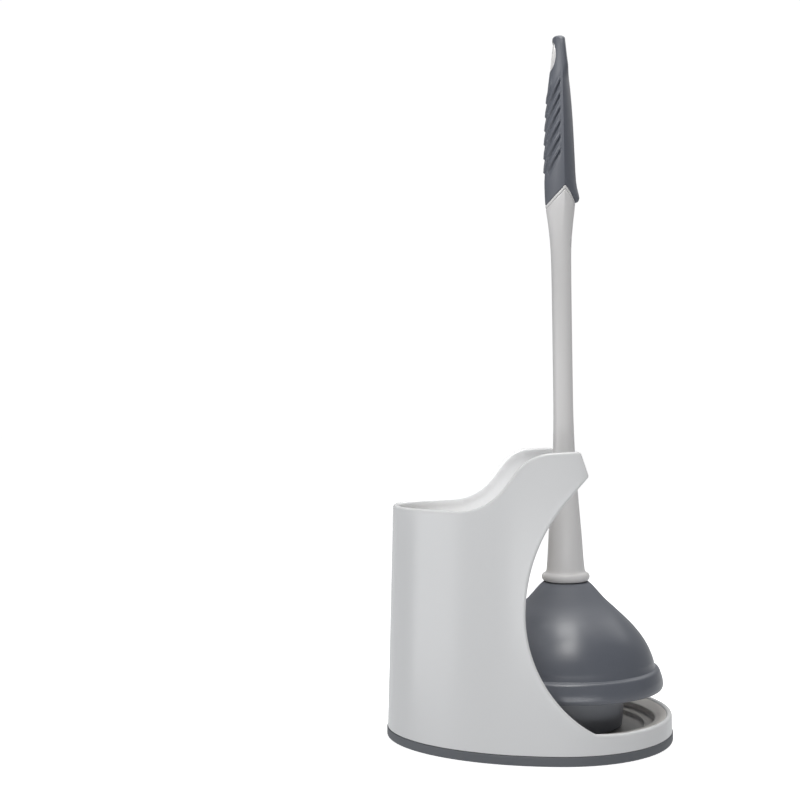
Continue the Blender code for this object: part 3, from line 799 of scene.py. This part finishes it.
def lobe_reach(z, places):
    """Extra reach of the finger stop at the back of the sleeve's lower end."""
    across, front, _ = places
    table = [(392, 0.2), (396.2, 1.0), (397.2, 2.2), (398.6, 2.9), (400.2, 3.1), (402.5, 2.6), (405, 1.9),
             (408, 1.1), (413, 0.3), (420, 0.0)]
    zs, reach = zip(*table)
    return np.interp(z, zs, reach) * np.where(front, 0.0, 1.0) * (1 - smoothstep((across - 0.25) / 0.75))


def sleeve_skin():
    """The soft grip: inner face, lower lip at the trim, ribbed outer face and crown."""
    places = around(54, 28)
    low = seam_rows(places, 2.85)
    rows = []
    count = len(low)
    cavity = 2.0
    top_in = 518.4
    for share in np.linspace(1, 0, 26):
        z = low + (top_in - low) * share
        rows.append((*handle_surface(z, places, cavity), z))
    for inset, lift in ((0.55, 0.0), (0.25, 0.08), (0.06, 0.3)):
        z = low + lift
        rows.append((*handle_surface(z, places, inset, lobe_reach(z, places) * 0.6), z))
    for share in np.linspace(0, 1, 301):
        z = low + 0.6 + (519.5 - low - 0.6) * share
        relief = rib_relief(z, places)
        rows.append((*handle_surface(z, places, -relief, lobe_reach(z, places)), z))
    for z in (520.1, 520.4, 520.6, 520.7):
        row = np.full(count, z)
        rows.append((*handle_surface(row, places), row))
    return skin_from_rows("grip_sleeve_skin", rows, (1.2, 0, top_in), (1.0, 0, 520.75), sharp=55)


HOLE_Z = 506
LINER_HALF = 11.5


def oval(half_width, half_height, count=96):
    """The hanging hole's outline, as (y, z) arrays."""
    turn = np.linspace(0, 2 * math.pi, count, endpoint=False)
    return half_width * np.cos(turn), HOLE_Z + half_height * np.sin(turn)


def liner_skin():
    """White oval liner of the hanging hole: its front stands up to the crest line."""
    rows = []
    front_face = [(5.15, LINER_HALF, 0.9), (5.1, 11.45, 0.45), (4.95, 11.3, 0.12), (4.7, 11.05, 0.0),
                  (4.35, 10.75, 0.05), (4.05, 10.45, 0.35), (3.9, 10.3, 0.9)]
    back_face = [(3.9, 10.3, 0.9), (4.1, 10.5, 0.3), (4.5, 10.9, 0.1), (5.0, 11.4, 0.4),
                 (5.15, LINER_HALF, 1.0)]
    section = [(*ring, True) for ring in front_face] + [(*ring, False) for ring in back_face]
    for half_width, half_height, sunk, front in section:
        y, z = oval(half_width, half_height)
        if front:
            rise = z - HOLE_Z + LINER_HALF
            x = -6.2 + rise * 0.131 + sunk + 0.1 * np.sin(rise / (2 * LINER_HALF) * math.pi)
        else:
            x = section_at(z)[..., 1] - 0.35 - sunk
        rows.append((x, y, z))
    return skin_from_rows("hole_liner", rows, close=True)


def cut_oval(piece, half_width, half_height):
    """Cut the hanging hole through a piece, along the plunger's X."""
    rows = []
    for x in (-20.0, 20.0):
        y, z = oval(half_width, half_height)
        rows.append((np.full(len(y), x), y, z))
    cutter = skin_from_rows("hole_cutter", rows, (-20, 0, HOLE_Z), (20, 0, HOLE_Z))
    cut = piece.modifiers.new("hole", "BOOLEAN")
    cut.operation = "DIFFERENCE"
    cut.solver = "EXACT"
    cut.object = cutter
    graph = bpy.context.evaluated_depsgraph_get()
    mesh = bpy.data.meshes.new_from_object(piece.evaluated_get(graph))
    piece.modifiers.clear()
    piece.data = mesh
    bpy.data.objects.remove(cutter)
    mesh.shade_smooth()
    mesh.set_sharp_from_angle(angle=math.radians(50))
    return piece


def collar_skin():
    """Plug in the shaft, bead that shows above the cup, and the stud with its thread below."""
    middle, half = 117.6, 3.4
    bead = [(17.8 - half + half * math.cos(a), middle + half * math.sin(a))
            for a in np.radians(np.linspace(88, -90, 19))]
    stud = []
    thread = [(7.9, 0), (8.3, 0.9), (9.0, 1.8), (9.0, 2.6), (8.3, 3.6), (7.9, 4.4)]
    for k in range(5):
        stud += [(r, 113.6 - 5 * k - drop) for r, drop in thread]
    profile = [(0, 139.8), (9.0, 139.8), (9.9, 139), (11.3, 121.3), (13, 121.0)] + bead
    profile += [(10, 114.2)] + stud + [(7.6, 90.2), (6.8, 89.8), (0, 89.8)]
    return revolve("threaded_collar_skin", profile, placed=AXIS)


def socket_skin():
    """The nut moulded into the rubber neck."""
    profile = rounded([(13, 113.7), (13, 87), (9.35, 87), (9.35, 113.7)], 0.6, closed=True)
    return revolve("threaded_socket_skin", profile, 96, AXIS, closed=True)


def cup_skin():
    """Bell and lip as the one rubber moulding they are: outer face, lip, underside web, inner face."""
    bell = curve_through([(17.6, 113.0), (18.5, 112.4), (21.6, 109.2), (29.0, 100.9), (38.3, 92.2),
                          (47.4, 83.4), (54.7, 74.8), (60, 66.1), (63.2, 58.2), (64.2, 54.2)], 6)
    neck = [(14.5, 113.8), (16.6, 113.8), (17.2, 113.55)]
    lip = rounded([(64.2, 54.2), (64.9, 51.6), (67.6, 50.6), (70.1, 43.6), (70.6, 39.2), (69.7, 36.5),
                   (55, 36.5), (42.0, 36.5)], [0, 1.0, 4.2, 14, 4, 1.1, 0, 0], step_angle=7)[1:]
    inner = [(39.6, 36.5), (39.6, 39.1), (40.2, 39.5), (59.6, 39.5), (62.2, 41), (63.4, 44), (61.6, 54.4)]
    back = curve_through([(61.6, 54.4), (60.4, 57), (57.3, 64.8), (52.4, 73), (45.7, 81.3), (36.3, 89.6),
                          (26.4, 98.5), (21.5, 100.5), (13.4, 101.5)], 3)[1:]
    profile = neck + bell + lip + inner + back + [(13.4, 113.6)]
    return revolve("cup_bell_and_lip", spread(profile, 3.0), 168, AXIS, closed=True, sharp=48)


def flange_skin():
    """The skirt that folds into the drain, with its rounded hem."""
    profile = rounded([(42.7, 36.9), (40.3, 11.4), (40.0, 8.3), (37.1, 8.3), (37.3, 11.4), (39.7, 36.9)],
                      [0, 0, 0.9, 0.9, 0, 0], closed=True)
    return revolve("flange_skin", spread(profile + [profile[0]], 2.5)[:-1], 144, AXIS, closed=True, sharp=48)


shaft = dress(shaft_skin(), white_handle, "handle_plastic", "plunger", "shaft")
collar = dress(collar_skin(), white_handle, "handle_plastic", "plunger", "threaded_collar")
socket = dress(socket_skin(), socket_plastic, "socket_plastic", "plunger", "threaded_socket")
core = dress(cut_oval(grip_core_skin(), 4.6, 11.0), white_handle, "handle_plastic", "plunger", "grip_core")
liner = dress(liner_skin(), white_handle, "handle_plastic", "plunger")
sleeve = dress(cut_oval(sleeve_skin(), 5.2, 11.55), grip_rubber, "grip_rubber", "plunger", "grip_sleeve")


# One skin each, standing for two CAD parts; it is attached to no body here
cup = dress(cup_skin(), cup_rubber, "cup_rubber", None, "cup_bell", "cup_lip")
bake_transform(cup)
flange = dress(flange_skin(), flange_rubber, "cup_rubber", None, "flange_skirt", "flange_hem")
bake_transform(flange)


# ---------------------------------------------------------------- studio

scene = bpy.context.scene
scene.view_settings.view_transform = "Standard"
scene.view_settings.look = "None"


def studio_world(upper, lower, back):
    """Even light from the walls, a bright wall behind, and what a white floor sends back up."""
    world = bpy.data.worlds.new("studio")
    scene.world = world
    world.use_nodes = True
    tree = world.node_tree
    sky = tree.nodes["Background"]
    sky.inputs["Color"].default_value = (0.97, 0.985, 1.0, 1)
    place = tree.nodes.new("ShaderNodeTexCoord")
    split = tree.nodes.new("ShaderNodeSeparateXYZ")
    tree.links.new(place.outputs["Generated"], split.inputs[0])
    parts = []
    for socket, low, high, at_low, at_high in (("Z", -0.12, 0.05, lower, upper), ("Y", 0.2, 0.9, 0.0, back)):
        level = tree.nodes.new("ShaderNodeMapRange")
        tree.links.new(split.outputs[socket], level.inputs["Value"])
        for key, value in (("From Min", low), ("From Max", high), ("To Min", at_low), ("To Max", at_high)):
            level.inputs[key].default_value = value
        parts.append(level.outputs["Result"])
    total = tree.nodes.new("ShaderNodeMath")
    for socket, part in zip(total.inputs, parts):
        tree.links.new(part, socket)
    tree.links.new(total.outputs[0], sky.inputs["Strength"])


studio_world(0.08, 0.64, 0.3)


def glow(name, colour, strength):
    """A material that only gives off light."""
    material = bpy.data.materials.new(name)
    material.use_nodes = True
    tree = material.node_tree
    tree.nodes.clear()
    emission = tree.nodes.new("ShaderNodeEmission")
    emission.inputs["Color"].default_value = (*colour, 1)
    emission.inputs["Strength"].default_value = strength
    output = tree.nodes.new("ShaderNodeOutputMaterial")
    tree.links.new(emission.outputs[0], output.inputs["Surface"])
    return material


def backdrop():
    """A white dome round the studio. Only the camera sees it, so it lights nothing."""
    bm = bmesh.new()
    bmesh.ops.create_uvsphere(bm, u_segments=48, v_segments=24, radius=9)
    mesh = bpy.data.meshes.new("backdrop")
    bm.to_mesh(mesh)
    bm.free()
    made = bpy.data.objects.new("backdrop", mesh)
    scene.collection.objects.link(made)
    mesh.materials.append(glow("backdrop_white", (1, 1, 1), 1.02))
    for ray in ("diffuse", "glossy", "transmission", "volume_scatter", "shadow"):
        setattr(made, "visible_" + ray, False)


def floor():
    """A plain pale disc under the part, lifted to white so that it meets the dome unseen."""
    bm = bmesh.new()
    bmesh.ops.create_circle(bm, cap_ends=True, segments=96, radius=8.9)
    mesh = bpy.data.meshes.new("floor")
    bm.to_mesh(mesh)
    bm.free()
    made = bpy.data.objects.new("floor", mesh)
    made.location.z = -0.0005
    scene.collection.objects.link(made)
    n = Nodes("floor_white")
    n.link(n.ramp(n.noise(3, 3, 0.5), [(0.3, (0.79, 0.79, 0.79)), (0.7, (0.81, 0.81, 0.81))]),
           n.shader.inputs["Base Color"])
    n.shader.inputs["Roughness"].default_value = 0.8
    n.shader.inputs["Emission Color"].default_value = (1, 1, 1, 1)
    n.shader.inputs["Emission Strength"].default_value = 0.9
    mesh.materials.append(n.material)
    made.visible_diffuse = False
    made.visible_glossy = False


def aim_lamp(name, data, at, aim):
    """Place a lamp and turn it towards a point."""
    lamp = bpy.data.objects.new(name, data)
    lamp.location = at
    lamp.rotation_euler = (Vector(aim) - Vector(at)).to_track_quat("-Z", "Y").to_euler()
    scene.collection.objects.link(lamp)


def area_light(name, at, aim, size, power, colour):
    """A rectangular softbox."""
    data = bpy.data.lights.new(name, "AREA")
    data.shape = "RECTANGLE"
    data.size, data.size_y = size
    data.energy = power
    data.color = colour
    aim_lamp(name, data, at, aim)


def soft_spot(name, at, aim, cone, power):
    """A narrow lamp with a soft edge, for one place that the wide lights miss."""
    data = bpy.data.lights.new(name, "SPOT")
    data.spot_size = math.radians(cone)
    data.spot_blend = 1.0
    data.shadow_soft_size = 0.03
    data.energy = power
    aim_lamp(name, data, at, aim)


backdrop()
floor()
COOL = (0.98, 0.99, 1.0)
area_light("overhead", (-0.04, -0.5, 1.2), (0.02, 0, 0.1), (0.42, 0.8), 6.4, (1, 0.99, 0.97))
area_light("top_soft", (-0.05, 0.05, 1.4), (-0.02, 0, 0.1), (0.9, 0.9), 4.5, (0.99, 0.995, 1.0))
area_light("back_top", (0.45, 0.4, 0.95), (0.07, 0, 0.04), (1.0, 1.0), 3.4, (1, 0.995, 0.985))
area_light("key_left", (-1.1, -0.25, 0.08), (-0.03, 0, 0.08), (0.9, 0.5), 3.2, COOL)
area_light("front_low", (0.05, -1.0, 0.03), (0.0, 0, 0.0), (0.9, 0.12), 2.3, COOL)
soft_spot("well_light", (-0.06, -0.5, 0.82), (-0.06, 0.065, 0.18), cone=13, power=30)
soft_spot("grip_light", (-0.9, -0.5, 0.8), (0.02, 0, 0.468), cone=11, power=12)

camera_data = bpy.data.cameras.new("camera")
camera = bpy.data.objects.new("camera", camera_data)
scene.collection.objects.link(camera)
camera.location = (-0.0963, -0.98, 0.2478)
camera.rotation_euler = (math.radians(90), 0, 0)
camera_data.lens = 59.0
camera_data.sensor_width = 36
camera_data.shift_y = 0.0025
camera_data.clip_start = 0.05
camera_data.clip_end = 60
scene.camera = camera

bpy.context.view_layer.update()
